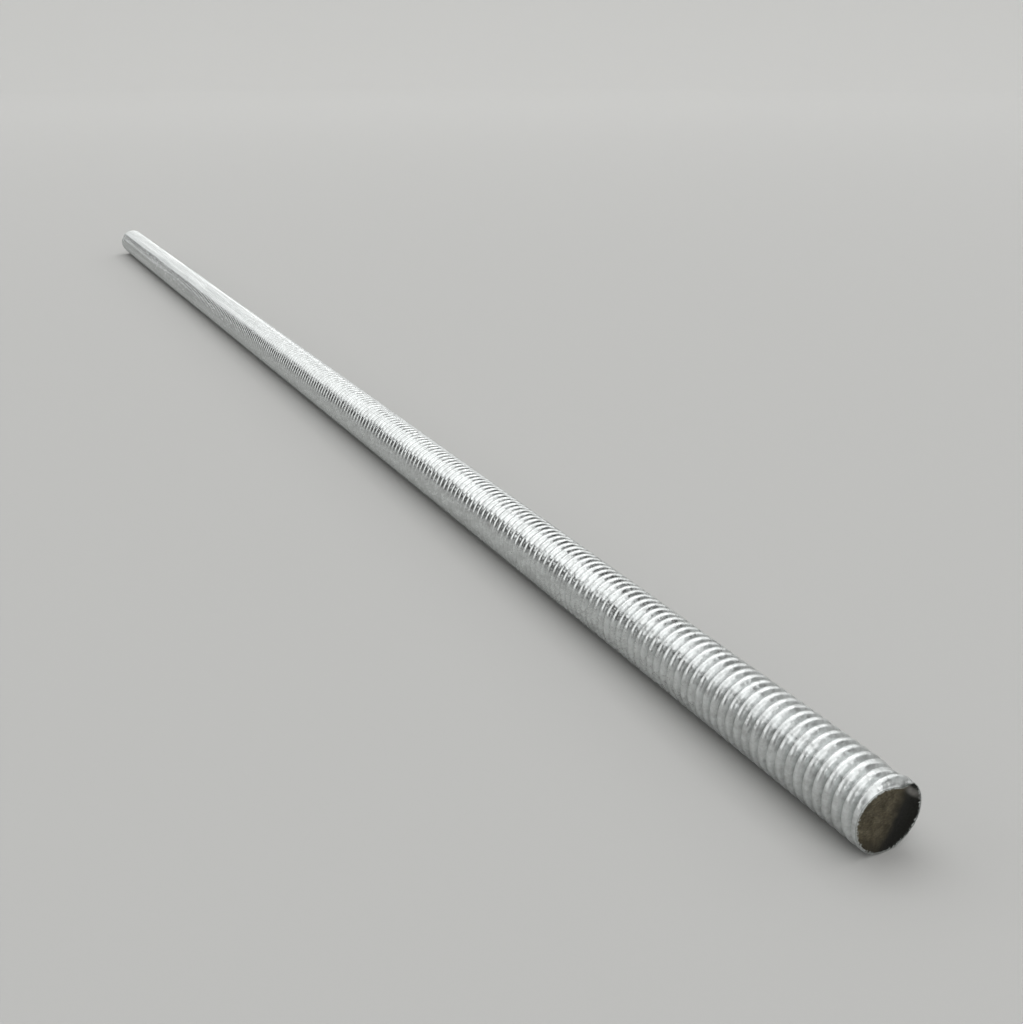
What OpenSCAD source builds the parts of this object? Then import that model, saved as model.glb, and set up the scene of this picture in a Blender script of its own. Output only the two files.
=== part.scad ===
// Threaded rod: a straight steel bar with a rolled 60 degree thread from end to end, cut off
// square at both ends. It lies along X, with its middle at the origin and its axis on Z = 0.

/* [Thread] */
// Diameter over the rolled and plated crests
crest_d = 5.88; // [4:0.02:12]
// Distance from one crest to the next, along the rod
pitch = 1; // [0.8:0.05:1.75]
// Width of the flat on top of each crest
crest_flat = 0.34; // [0.05:0.01:0.45]
// Width of the flat at the bottom of each groove
root_flat = 0.12; // [0.05:0.01:0.25]
// Angle between the two flanks of a groove
flank_angle = 60; // [55:1:90]

/* [Cut to length] */
// Length of the rod between its two cut ends
rod_length = 275; // [50:1:300]
// Distance from the first cut end to the middle of the first crest
first_crest = 0.2; // [0:0.05:0.5]

/* [Hidden] */
$fn = 64;

crest_r = crest_d / 2;
groove_depth = (pitch - crest_flat - root_flat) / 2 / tan(flank_angle / 2);
root_r = crest_r - groove_depth;
first_end = -rod_length / 2;
second_end = rod_length / 2;

// Where the crests stand along the rod, and one more beyond each cut
crest_places = [for (x = first_end + first_crest - pitch; x < second_end + pitch; x = x + pitch) x];

// Radius of the thread at a distance from the middle of the nearest crest
function radius_off_crest(off) =
    off < crest_flat / 2 ? crest_r :
    off > (pitch - root_flat) / 2 ? root_r :
    crest_r - (off - crest_flat / 2) / tan(flank_angle / 2);

// Radius of the thread at a place along the rod
function radius_at(x) =
    let (turns = (x - first_end - first_crest) / pitch)
    radius_off_crest(abs(turns - round(turns)) * pitch);

// The four corners of one ridge of the thread, from root to root
function ridge(x) = [
    [root_r, x - (pitch - root_flat) / 2],
    [crest_r, x - crest_flat / 2],
    [crest_r, x + crest_flat / 2],
    [root_r, x + (pitch - root_flat) / 2]
];

// Half of the rod's lengthwise section: radius first, then place along the rod
function section() = concat(
    [[0, first_end], [radius_at(first_end), first_end]],
    [for (x = crest_places) for (corner = ridge(x))
        if (corner[1] > first_end && corner[1] < second_end) corner],
    [[radius_at(second_end), second_end], [0, second_end]]
);

module rod() {
    color("lightgray") rotate([0, 90, 0]) rotate_extrude() polygon(section());
}

rod();
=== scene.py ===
"""A length of zinc-plated threaded rod, lying on a pale table under soft light.

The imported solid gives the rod's place and size. The surface that is seen is one closed mesh: a
right-hand helix of 60 degree thread, cut off square at both ends, with bare steel on the cuts.
"""
import math

import bpy
import numpy as np
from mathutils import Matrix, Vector


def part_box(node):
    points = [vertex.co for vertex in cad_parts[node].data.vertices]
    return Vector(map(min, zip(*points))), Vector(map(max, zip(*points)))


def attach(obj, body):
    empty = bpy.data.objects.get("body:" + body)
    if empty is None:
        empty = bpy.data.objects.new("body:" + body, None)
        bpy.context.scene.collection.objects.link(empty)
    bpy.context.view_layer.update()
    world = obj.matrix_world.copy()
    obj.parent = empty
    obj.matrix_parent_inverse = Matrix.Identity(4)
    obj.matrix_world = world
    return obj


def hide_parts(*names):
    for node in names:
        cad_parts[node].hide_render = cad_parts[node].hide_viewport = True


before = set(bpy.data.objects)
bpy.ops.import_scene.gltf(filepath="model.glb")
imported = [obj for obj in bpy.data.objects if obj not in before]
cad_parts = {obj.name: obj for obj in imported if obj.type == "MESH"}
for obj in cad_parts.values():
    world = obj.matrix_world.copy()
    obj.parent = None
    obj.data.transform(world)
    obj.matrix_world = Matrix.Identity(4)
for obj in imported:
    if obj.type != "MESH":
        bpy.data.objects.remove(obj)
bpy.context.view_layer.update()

# The eye: just past the near end of the rod, a little above it and to its front, looking back
# along it, so that the near cut end shows and the far end is small and high.
eye = bpy.data.cameras.new("eye")
eye.sensor_width = 36.0
eye.lens = 41.5
eye.clip_start = 0.004
eye.clip_end = 20.0
eye_object = bpy.data.objects.new("eye", eye)
eye_down = math.radians(21.73)
eye_turn = math.radians(63.24)
eye_object.location = (0.1851, -0.0524, 0.0484)
eye_object.rotation_euler = (math.pi / 2 - eye_down, 0.0, eye_turn)
bpy.context.scene.collection.objects.link(eye_object)
bpy.context.scene.camera = eye_object


# The rod: a steel bar with a metric thread rolled on its whole length, then zinc plated, and
# sheared to length afterwards, so the plate stops at the rim of each cut and bare steel shows.
rod_low, rod_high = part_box("rod")
half_length = rod_high.x
crest_radius = min(rod_high.y, rod_high.z)
pitch = 0.001
groove_depth = 0.47 * pitch
groove_angle = math.radians(80.0)
spare_turns = 3
corners_round = 38
corner_angles = np.arange(corners_round) * 2 * np.pi / corners_round

# The bends of the thread's form from the middle of a crest to the middle of a groove, as shares
# of the pitch and of the groove's depth. A row of points runs along each bend of a whole pitch.
form_place = np.array([0.0, 0.11, 0.205, 0.30, 0.43, 0.5])
form_depth = np.array([0.0, 0.0, 0.07, 0.32, 0.87, 1.0])
row_place = np.concatenate([-form_place[1:2], form_place[1:], 1 - form_place[-2:1:-1]])

# What the blade did at each cut: a ragged lip that is rolled over in a notch, a groove pressed
# shut beside the notch and crests crushed a little way in, and a painted shadow by the notch,
# which only darkens the plate and changes no shape. Two lengths or widths together say up to
# where a mark is full and where it is gone.
lip_length = 0.0004
lip_ragged = 0.00006
notch_angle = np.radians([49.0, 66.0, 92.0, 117.0, 134.0, 156.0])
notch_depth = np.array([0.0, 0.00071, 0.00062, 0.00034, 0.00019, 0.0])
shut_angle = math.radians(12.0)
shut_width = np.radians([25.2, 46.2])
shut_length = (0.0006, 0.0009)
crush_angle = math.radians(52.0)
crush_width = math.radians(48.0)
crush_place = 0.0017
crush_reach = 0.0012
crush_depth = 0.00018
tear_shadow_angle = math.radians(57.0)
tear_shadow_width = np.radians([4.2, 18.2])
tear_shadow_length = (0.0001, 0.0003)

# The face of a cut: the edge is broken all round but where the plate is smeared over it as a
# burr, and a hollow deepens toward one side, along hollow_way.
rim_break = 0.00005
burr_share = 0.022
burr_spread = 0.35
ring_share = np.array([0.997, 0.93, 0.82, 0.66, 0.48, 0.30, 0.14])
hollow_way = (0.0, 0.94, -0.34)
hollow_from = 0.0004
hollow_to = 0.0020
hollow_depth = 0.00012


def helix_phase(x, angle):
    """Pitches from the middle of a crest: the place along the rod in pitches, less the share of a
    turn made by the angle, set so that a groove lies at groove_angle in both cut ends."""
    return (x - half_length) / pitch - (angle - groove_angle) / (2 * np.pi) + 0.5


def thread_depth(phase):
    """Depth below the crests as a share of the full depth: level on the crest, rounded over into
    a flank of about 30 degrees and eased into the root, straight from one bend to the next."""
    return np.interp(np.abs(phase - np.round(phase)), form_place, form_depth)


def turned_from(angle, middle):
    """The angle between two directions round the rod, the shorter way."""
    return np.abs((angle - middle + np.pi) % (2 * np.pi) - np.pi)


def fading(distance, full, gone):
    """1 up to the first distance, then straight down to 0 at the second."""
    return np.clip((gone - distance) / (gone - full), 0.0, 1.0)


def dented(distance, reach):
    """1 in the middle, less the square of the distance as a share of its reach, and 0 past it."""
    return np.clip(1.0 - (distance / reach) ** 2, 0.0, 1.0)


def ragged(angle):
    """Three sine waves round the lip, added and brought between 0 and 1."""
    waves = np.sin(7 * angle + 1.0) + np.sin(11 * angle + 2.0) + np.sin(16 * angle)
    return (3.0 + waves) / 6.0


def plated_surface(x, angle):
    """Radius and darkness of the plate, at a place along the rod and an angle round it. The radius
    is the crest's less the groove or the crushed dent, whichever is deeper. Over the lip's length
    it passes in a straight line to the lip's, which is the crest's less the notch and the ragged
    waves. The darkness is painted shade: half the groove's depth, where it isn't pressed shut, and
    half how near the painted shadow by the notch is, along the rod and round it."""
    from_cut = half_length - np.abs(x)
    shut = fading(from_cut, *shut_length) * fading(turned_from(angle, shut_angle), *shut_width)
    depth = thread_depth(helix_phase(x, angle)) * (1 - shut)
    crush = dented(from_cut - crush_place, crush_reach)
    crush = crush * dented(turned_from(angle, crush_angle), crush_width)
    thread = crest_radius - np.maximum(groove_depth * depth, crush_depth * crush)
    lip = crest_radius - np.interp(angle, notch_angle, notch_depth) - lip_ragged * ragged(angle)
    at_lip = fading(from_cut, 0.0, lip_length)
    tear_shadow = fading(from_cut, *tear_shadow_length) * fading(turned_from(angle, tear_shadow_angle), *tear_shadow_width)
    return thread * (1 - at_lip) + lip * at_lip, 0.5 * depth + 0.5 * tear_shadow


def thread_skin():
    """Points, darkness and faces of the helix on a grid, and its two rims. One parameter goes
    round the rod in equal steps, the other goes along the thread from bend to bend of its form
    and moves on by one pitch in each turn. Points past a cut are brought back to it, and the faces
    between them close up."""
    turns = np.arange(-int(2 * half_length / pitch) - spare_turns, spare_turns)
    phase = (turns[:, None] + row_place).ravel()
    shift = (corner_angles - groove_angle) / (2 * np.pi) - 0.5
    end = half_length - rim_break
    x = half_length + pitch * (phase[:, None] + shift)
    first = (x <= -end).sum(0) - 1
    last = (x < end).sum(0)
    x = np.clip(x, -end, end)
    radius, dark = plated_surface(x, corner_angles)
    points = np.stack([x, radius * np.cos(corner_angles), radius * np.sin(corner_angles)], -1)

    def number(row, column):
        """The point at that row and column. Once round the rod leads to the next turn's row, and
        rows past a cut lead to the one on it."""
        row = row + len(row_place) * (column // corners_round)
        column = column % corners_round
        return np.clip(row, first[column], last[column]) * corners_round + column

    columns = np.arange(corners_round)
    rows = np.arange(len(phase) - len(row_place) - 1)
    row, column = np.meshgrid(rows, columns, indexing="ij")
    quads = np.stack([number(row, column), number(row, column + 1),
                      number(row + 1, column + 1), number(row + 1, column)], -1).reshape(-1, 4)
    rims = [number(first, columns), number(last, columns)]
    return points.reshape(-1, 3), dark.ravel(), quads, rims


def cut_face(rim_points, burr, side):
    """Points of a cut end on a grid, and each one's share of the rim's radius. Rings shrink from
    the thread's own outline to the middle, and the outermost leaves a strip of plate, widest where
    the burr is. The hollow is a smooth step, three times the square less twice the cube, of the
    distance along hollow_way, and fades out toward the rim."""
    share = np.tile(ring_share[:, None], corners_round)
    share[0] -= burr_share * burr
    y = rim_points[None, :, 1] * share
    z = rim_points[None, :, 2] * share
    along_way = y * hollow_way[1] + z * hollow_way[2]
    step = np.clip((along_way - hollow_from) / (hollow_to - hollow_from), 0.0, 1.0)
    hollow = hollow_depth * step ** 2 * (3 - 2 * step) * (1 - share ** 6)
    x = side * (half_length - hollow)
    return np.stack([x, y, z], -1).reshape(-1, 3), share.ravel()


# Each rim is moved out by its burr and closed by the rings of its cut and a fan to the middle.
# A point holds one value, which is the plate's painted shade on the thread and the share of the
# radius on a cut, so that the strip of plate between the two darkens toward the steel.
points, dark, quads, rims = thread_skin()
all_points = [points]
all_shades = [dark]
rim_quads = []
cut_quads = []
cut_triangles = []
count = len(points)
burr = np.clip(burr_spread + np.cos(corner_angles), 0, 1)
for rim, side in zip(rims, (-1, 1)):
    points[rim, 0] += side * rim_break * burr
    rings, share = cut_face(points[rim], burr, side)
    middle = np.array([[side * half_length, 0.0, 0.0]])
    ring_numbers = count + np.arange(len(rings)).reshape(len(ring_share), corners_round)
    numbers = np.vstack([rim, ring_numbers])
    beside = np.roll(numbers, -1, axis=1)
    sheet = np.stack([numbers[:-1], beside[:-1], beside[1:], numbers[1:]], -1).reshape(-1, 4)
    fan = np.stack([numbers[-1], beside[-1], np.full(corners_round, count + len(rings))], -1)
    sheet = sheet if side > 0 else sheet[:, ::-1]
    rim_quads.append(sheet[:corners_round])
    cut_quads.append(sheet[corners_round:])
    cut_triangles.append(fan if side > 0 else fan[:, ::-1])
    all_points += [rings, middle]
    all_shades += [share, np.zeros(1)]
    count += len(rings) + 1

# Faces with one doubled corner, at the cuts, become triangles, and those with two are dropped.
doubled = quads == np.roll(quads, -1, axis=1)
whole = quads[~doubled.any(1)]
single = doubled.sum(1) == 1
thinned = quads[single][~doubled[single]].reshape(-1, 3)
skin_faces = [whole, thinned, *rim_quads]
cut_faces = [*cut_quads, *cut_triangles]

# Points that no face uses are left out, and the rest are numbered anew.
every_point = np.vstack(all_points)
every_shade = np.concatenate(all_shades)
used = np.zeros(len(every_point), bool)
used[np.concatenate([faces.ravel() for faces in skin_faces + cut_faces])] = True
renumbered = np.cumsum(used) - 1
face_lists = [face for faces in skin_faces + cut_faces for face in renumbered[faces].tolist()]
rod_mesh = bpy.data.meshes.new("threaded_rod")
rod_mesh.from_pydata(every_point[used].tolist(), [], face_lists)
shade = rod_mesh.attributes.new("shade", "FLOAT", "POINT")
shade.data.foreach_set("value", every_shade[used].astype(np.float32))
on_cut = np.zeros(len(face_lists), np.int32)
on_cut[sum(len(faces) for faces in skin_faces):] = 1
rod_mesh.polygons.foreach_set("material_index", on_cut)
rod_mesh.polygons.foreach_set("use_smooth", np.ones(len(face_lists), bool))
rod_mesh.update()


def node(material, kind, **settings):
    """A new shader node of that kind, with its own settings."""
    made = material.node_tree.nodes.new(kind)
    for name, value in settings.items():
        setattr(made, name, value)
    return made


def feed(material, value, socket):
    """Gives a socket another node's output, or a plain number or colour."""
    if isinstance(value, bpy.types.NodeSocket):
        material.node_tree.links.new(value, socket)
    elif isinstance(value, tuple):
        socket.default_value = (*value, 1.0)[:len(socket.default_value)]
    else:
        socket.default_value = value


def noise(material, place, stretch, scale, detail, rough):
    """Noise read at the object's own coordinates, stretched along each axis first."""
    mapping = node(material, "ShaderNodeMapping")
    feed(material, place, mapping.inputs["Vector"])
    feed(material, stretch, mapping.inputs["Scale"])
    made = node(material, "ShaderNodeTexNoise")
    feed(material, mapping.outputs["Vector"], made.inputs["Vector"])
    feed(material, scale, made.inputs["Scale"])
    feed(material, detail, made.inputs["Detail"])
    feed(material, rough, made.inputs["Roughness"])
    return made.outputs["Fac"]


def ramp(material, value, stops):
    """Colours at places from 0 to 1, blended in between."""
    made = node(material, "ShaderNodeValToRGB")
    bands = made.color_ramp
    while len(bands.elements) < len(stops):
        bands.elements.new(0.5)
    for element, (place, colour) in zip(bands.elements, stops):
        element.position = place
        element.color = (*colour, 1.0)
    feed(material, value, made.inputs["Fac"])
    return made.outputs["Color"]


def mixed(material, kind, amount, first, second):
    """Two colours mixed in that kind of way, the second by that amount over the first."""
    made = node(material, "ShaderNodeMix", data_type="RGBA", blend_type=kind)
    for name, value in (("Factor", amount), ("A", first), ("B", second)):
        feed(material, value, [s for s in made.inputs if s.name == name and s.enabled][0])
    return [s for s in made.outputs if s.enabled][0]


def between(material, value, low, high, out_low, out_high):
    """The value taken from one range to another along an S-shaped curve, and held at both ends."""
    made = node(material, "ShaderNodeMapRange", interpolation_type="SMOOTHSTEP")
    for name, number in (("Value", value), ("From Min", low), ("From Max", high),
                         ("To Min", out_low), ("To Max", out_high)):
        feed(material, number, made.inputs[name])
    return made.outputs["Result"]


def sums(material, kind, *values):
    """Plain arithmetic on numbers and sockets."""
    made = node(material, "ShaderNodeMath", operation=kind)
    for value, socket in zip(values, made.inputs):
        feed(material, value, socket)
    return made.outputs["Value"]


def axes(material, place):
    """The three coordinates of a place, each on its own."""
    made = node(material, "ShaderNodeSeparateXYZ")
    feed(material, place, made.inputs["Vector"])
    return made.outputs


def bumped(material, height, strength, distance, normal=None):
    """A bump by the height from 0 to 1, which is that distance in metres at full strength, laid
    over the bump before."""
    made = node(material, "ShaderNodeBump")
    feed(material, height, made.inputs["Height"])
    feed(material, strength, made.inputs["Strength"])
    feed(material, distance, made.inputs["Distance"])
    if normal is not None:
        feed(material, normal, made.inputs["Normal"])
    return made.outputs["Normal"]


# Zinc plate on the rolled thread: bright and faintly blue, satin rather than mirror, blotched toward
# the near end, which is +X, and streaked lengthwise toward the far one. It is duller and wavier
# where the near end has been handled, with painted shade a little darker down in the grooves and a
# painted shadow near black by the notch.
blotch_dark = (0.51, 0.525, 0.52)
blotch_bright = (0.70, 0.725, 0.72)
streak_dark = (0.50, 0.52, 0.515)
streak_bright = (0.63, 0.65, 0.645)
# Painted shade of the plate, from the crests down into the grooves, and the painted shadow by the
# notch.
crest_shade = (1.0, 1.0, 1.0)
groove_shade = (0.92, 0.92, 0.92)
tear_shadow_edge = (0.62, 0.62, 0.61)
tear_painted_shadow = (0.10, 0.11, 0.10)
handled_from = 0.080

zinc = bpy.data.materials.new("zinc_plate")
zinc.use_nodes = True
zinc_shader = zinc.node_tree.nodes["Principled BSDF"]
zinc_shader.inputs["Metallic"].default_value = 1.0
place = node(zinc, "ShaderNodeTexCoord").outputs["Object"]
along = axes(zinc, place)["X"]
blotch_share = between(zinc, along, low=-0.080, high=0.060, out_low=0.12, out_high=1.0)
blotches = noise(zinc, place, stretch=(0.4, 1.0, 1.0), scale=1700.0, detail=6.0, rough=0.75)
blotched = ramp(zinc, blotches, [(0.36, blotch_dark), (0.60, blotch_bright)])
streaks = noise(zinc, place, stretch=(0.03, 1.0, 1.0), scale=1600.0, detail=3.0, rough=0.6)
streaked = ramp(zinc, streaks, [(0.38, streak_dark), (0.60, streak_bright)])
plate_colour = mixed(zinc, "MIX", blotch_share, streaked, blotched)
# The attribute gives the painted shade: a little darker down in the grooves, near black in the
# painted shadow by the notch.
plate_shade = node(zinc, "ShaderNodeAttribute", attribute_name="shade").outputs["Fac"]
shade_colour = ramp(zinc, plate_shade, [(0.30, crest_shade), (0.50, groove_shade),
                                        (0.56, tear_shadow_edge), (1.0, tear_painted_shadow)])
shaded = mixed(zinc, "MULTIPLY", 1.0, plate_colour, shade_colour)
feed(zinc, shaded, zinc_shader.inputs["Base Color"])
dull = between(zinc, blotches, low=0.35, high=0.65, out_low=0.16, out_high=0.28)
handled = between(zinc, along, low=handled_from, high=0.135, out_low=0.0, out_high=0.14)
feed(zinc, sums(zinc, "ADD", dull, handled), zinc_shader.inputs["Roughness"])
waves = noise(zinc, place, stretch=(0.35, 1.0, 1.0), scale=1050.0, detail=2.0, rough=0.5)
grain = noise(zinc, place, stretch=(1.0, 1.0, 1.0), scale=3600.0, detail=5.0, rough=0.7)
marks = noise(zinc, place, stretch=(14.0, 1.0, 1.0), scale=1400.0, detail=3.0, rough=0.55)
handled_waves = between(zinc, along, low=handled_from, high=0.130, out_low=1.0, out_high=1.8)
wavy = sums(zinc, "MULTIPLY", waves, sums(zinc, "MULTIPLY", blotch_share, handled_waves))
grainy = sums(zinc, "MULTIPLY", grain, blotch_share)
marked = sums(zinc, "MULTIPLY", marks, blotch_share)
wave_bump = bumped(zinc, wavy, strength=0.7, distance=0.00010)
grain_bump = bumped(zinc, grainy, strength=0.22, distance=0.00004, normal=wave_bump)
mark_bump = bumped(zinc, marked, strength=0.14, distance=0.00003, normal=grain_bump)
feed(zinc, mark_bump, zinc_shader.inputs["Normal"])
rod_mesh.materials.append(zinc)


# The cut ends: bare steel, dull brown-grey where the blade went through and finely scored by it.
# Toward the hollow a painted dark reflection turns it nearly black, by the notch lie a painted
# highlight streak and a painted shadow streak, and painted shade darkens it toward the bottom.
# The plate is smeared over the edge in a thin bright rim with chips out of it.
steel_colours = [(0.33, (0.056, 0.046, 0.027)), (0.50, (0.100, 0.085, 0.054)),
                 (0.68, (0.165, 0.145, 0.098))]
score_shades = [(0.36, (0.55, 0.55, 0.55)), (0.56, (1.0, 1.0, 1.0)), (0.72, (1.9, 1.9, 1.85))]
# Colours of the painted dark reflection, painted highlight, painted shade and painted shadow on the
# face, and of the smeared plate.
dark_reflection_steel = (0.006, 0.006, 0.004)
highlight_steel = (0.22, 0.215, 0.20)
lower_painted_shade = (0.012, 0.012, 0.010)
smeared_plate = (0.50, 0.52, 0.51)
shadow_steel = (0.006, 0.006, 0.005)
edge_wander = 0.0011
chip_share = 0.30


def streak(material, place, middle, turn, stretch, low, high, share):
    """A streak on a cut face, turned by that many degrees about the rod's axis: the share it takes
    up to the low distance from its middle, down to none at the high one, with the distance along
    it cut down by the stretch."""
    mapping = node(material, "ShaderNodeMapping", vector_type="TEXTURE")
    feed(material, place, mapping.inputs["Vector"])
    feed(material, middle, mapping.inputs["Location"])
    feed(material, (math.radians(turn), 0.0, 0.0), mapping.inputs["Rotation"])
    feed(material, (1.0, stretch, 1.0), mapping.inputs["Scale"])
    away = node(material, "ShaderNodeVectorMath", operation="LENGTH")
    feed(material, mapping.outputs["Vector"], away.inputs[0])
    return between(material, away.outputs["Value"], low, high, share, 0.0)


steel = bpy.data.materials.new("cut_steel")
steel.use_nodes = True
steel_shader = steel.node_tree.nodes["Principled BSDF"]
steel_shader.inputs["Specular IOR Level"].default_value = 0.2
steel_shader.inputs["Roughness"].default_value = 0.5
place = node(steel, "ShaderNodeTexCoord").outputs["Object"]
toward_hollow = node(steel, "ShaderNodeVectorMath", operation="DOT_PRODUCT")
feed(steel, place, toward_hollow.inputs[0])
feed(steel, hollow_way, toward_hollow.inputs[1])
across = toward_hollow.outputs["Value"]
# A painted dark reflection, nearly black, over the side of the face toward the hollow, with a
# wandering edge.
wander = noise(steel, place, stretch=(1.0, 1.0, 1.0), scale=1500.0, detail=3.0, rough=0.55)
wandering = sums(steel, "MULTIPLY_ADD", wander, edge_wander, across)
dark_reflection_share = between(steel, wandering, low=hollow_from, high=0.0017, out_low=0.0, out_high=1.0)
stain = noise(steel, place, stretch=(1.0, 1.0, 1.0), scale=1300.0, detail=6.0, rough=0.7)
bare = ramp(steel, stain, steel_colours)
with_dark_reflection = mixed(steel, "MIX", dark_reflection_share, bare, dark_reflection_steel)
scored = noise(steel, place, stretch=(1.0, 1.2, 7.0), scale=2400.0, detail=4.0, rough=0.7)
cut_colour = mixed(steel, "MULTIPLY", 1.0, with_dark_reflection, ramp(steel, scored, score_shades))
# A painted highlight: a pale streak on the face by the notch.
highlight_streak = streak(steel, place, middle=(half_length, 0.00192, 0.00140), turn=-38.8, stretch=3.5,
               low=0.00008, high=0.00042, share=1.5)
with_highlight = mixed(steel, "MIX", sums(steel, "MULTIPLY", highlight_streak, stain), cut_colour, highlight_steel)
# Painted shade: the face darker toward the bottom.
height = axes(steel, place)["Z"]
shade_by_height = between(steel, height, low=-0.0026, high=-0.0008, out_low=0.4, out_high=1.0)
face_colour = mixed(steel, "MIX", shade_by_height, lower_painted_shade, with_highlight)
from_middle = node(steel, "ShaderNodeAttribute", attribute_name="shade").outputs["Fac"]
chips = noise(steel, place, stretch=(0.2, 1.0, 1.0), scale=5200.0, detail=3.0, rough=0.7)
trimmed = between(steel, across, low=-0.0015, high=0.0010, out_low=0.0, out_high=0.018)
chipped = sums(steel, "MULTIPLY_ADD", chips, chip_share, from_middle)
chipped = sums(steel, "SUBTRACT", chipped, trimmed)
smeared = between(steel, chipped, low=1.08, high=1.12, out_low=0.0, out_high=1.0)
rimmed = mixed(steel, "MIX", smeared, face_colour, smeared_plate)
# A painted shadow: a dark streak on the face beside the notch, near the rim.
shadow_streak = streak(steel, place, middle=(half_length, 0.00190, 0.00196), turn=-44.0, stretch=4.2,
               low=0.00010, high=0.00020, share=0.97)
with_shadow = mixed(steel, "MIX", shadow_streak, rimmed, shadow_steel)
feed(steel, with_shadow, steel_shader.inputs["Base Color"])
plated = between(steel, smeared, low=0.0, high=1.0, out_low=0.6, out_high=1.0)
feed(steel, plated, steel_shader.inputs["Metallic"])
score_bump = bumped(steel, scored, strength=0.7, distance=0.00006)
feed(steel, score_bump, steel_shader.inputs["Normal"])
rod_mesh.materials.append(steel)

threaded_rod = bpy.data.objects.new("threaded_rod", rod_mesh)
bpy.context.scene.collection.objects.link(threaded_rod)
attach(threaded_rod, "root")
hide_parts("rod")


# The table: one round sheet of pale paper that the rod lies on, loose. It is flat under the rod and
# curves up into a low wall on the far end's side.
paper_colour = (0.43, 0.43, 0.42, 1.0)
flat_rings = [0.02, 0.4, 0.8]
table_flat = 1.2
table_curve = 0.6
wall_height = 0.7
wall_side = math.radians(165.0)
spokes = 64


def table_sheet():
    """A profile turned about Z: flat for a stretch, then a quarter circle, then straight up. Its
    height is multiplied by the cube of a cosine wave round Z, brought between 0 and 1, which is
    1 on the wall's side and 0 on the other. Gives its points and how many rings they make."""
    bend = np.linspace(0.0, np.pi / 2, 16)
    outer = table_flat + table_curve
    away = np.concatenate([flat_rings, table_flat + table_curve * np.sin(bend), [outer]])
    height = np.concatenate([[0.0, 0.0, 0.0], table_curve * (1 - np.cos(bend)), [wall_height]])
    turn = np.linspace(0.0, 2 * np.pi, spokes, endpoint=False)
    x = away[:, None] * np.cos(turn)
    y = away[:, None] * np.sin(turn)
    raised = 0.5 + 0.5 * np.cos(turn - wall_side)
    z = rod_low.z + height[:, None] * raised ** 3
    return np.stack([x, y, z], -1).reshape(-1, 3), len(away)


sheet_points, rings = table_sheet()
ring, spoke = np.meshgrid(np.arange(rings - 1), np.arange(spokes), indexing="ij")
beside = (spoke + 1) % spokes
sheet_faces = np.stack([ring * spokes + spoke, (ring + 1) * spokes + spoke,
                        (ring + 1) * spokes + beside, ring * spokes + beside], -1).reshape(-1, 4)
table_mesh = bpy.data.meshes.new("table")
table_mesh.from_pydata(sheet_points.tolist(), [], sheet_faces.tolist() + [list(range(spokes))])
table_mesh.polygons.foreach_set("use_smooth", np.ones(len(sheet_faces) + 1, bool))
paper = bpy.data.materials.new("pale_paper")
paper.use_nodes = True
paper_shader = paper.node_tree.nodes["Principled BSDF"]
paper_shader.inputs["Base Color"].default_value = paper_colour
paper_shader.inputs["Roughness"].default_value = 0.9
paper_shader.inputs["Specular IOR Level"].default_value = 0.1
table_mesh.materials.append(paper)
table = bpy.data.objects.new("table", table_mesh)
bpy.context.scene.collection.objects.link(table)


# The light, which the plate mirrors as a broad soft band: a ceiling of three large panels in a row,
# from over the rod to far past its near end, each brighter than the one before. A panel leans over
# the rod from either side, two more stand past the near end, and one washes the table's wall.
def soft_box(name, place, aim, size, radiance):
    """A rectangular lamp at place, turned toward aim, whose face shows that radiance: its power is
    the radiance times pi times its area."""
    lamp = bpy.data.lights.new(name, "AREA")
    lamp.shape = "RECTANGLE"
    lamp.size, lamp.size_y = size
    lamp.energy = radiance * math.pi * size[0] * size[1]
    lamp_object = bpy.data.objects.new(name, lamp)
    lamp_object.location = place
    lamp_object.rotation_euler = (Vector(place) - Vector(aim)).to_track_quat("Z", "Y").to_euler()
    bpy.context.scene.collection.objects.link(lamp_object)


soft_box("overhead", (-1.50, 0.05, 3.0), aim=(-1.50, 0.05, 0.0), size=(7.80, 4.70), radiance=1.3)
soft_box("front_near", (3.70, -0.60, 3.0), aim=(3.70, -0.60, 0.0), size=(2.60, 3.60), radiance=1.6)
soft_box("front_far", (7.30, 0.25, 3.0), aim=(7.30, 0.25, 0.0), size=(4.60, 5.30), radiance=2.0)
soft_box("back", (-1.8, 3.0, 2.4), aim=(-1.8, 0.0, 0.0), size=(6.0, 2.6), radiance=1.0)
soft_box("side", (-5.0, -2.4, 1.5), aim=(-5.0, 0.0, 0.0), size=(9.0, 1.4), radiance=1.1)
soft_box("front_high", (8.4, 2.4, 2.6), aim=(0.0, 0.0, 0.0), size=(6.0, 1.7), radiance=2.3)
soft_box("front_low", (6.1, -0.4, 0.5), aim=(0.0, 0.0, 0.3), size=(4.0, 0.9), radiance=1.0)
soft_box("wash", (-0.9, 0.45, 1.6), aim=(-1.7, 0.85, 0.3), size=(2.4, 0.5), radiance=3.0)

# The room behind the lamps: pale walls under a dark ceiling. The walls are lower on the side that
# the near end points to.
room = bpy.data.worlds.new("room")
room.use_nodes = True
room_light = room.node_tree.nodes["Background"]
room_light.inputs["Color"].default_value = (0.97, 0.97, 0.955, 1.0)
way = axes(room, node(room, "ShaderNodeTexCoord").outputs["Generated"])
wall_top = between(room, way["X"], low=0.38, high=0.58, out_low=0.48, out_high=0.18)
above = sums(room, "SUBTRACT", way["Z"], wall_top)
room_strength = between(room, above, low=-0.05, high=0.1, out_low=0.52, out_high=0.05)
feed(room, room_strength, room_light.inputs["Strength"])
bpy.context.scene.world = room

bpy.context.scene.view_settings.view_transform = "Standard"
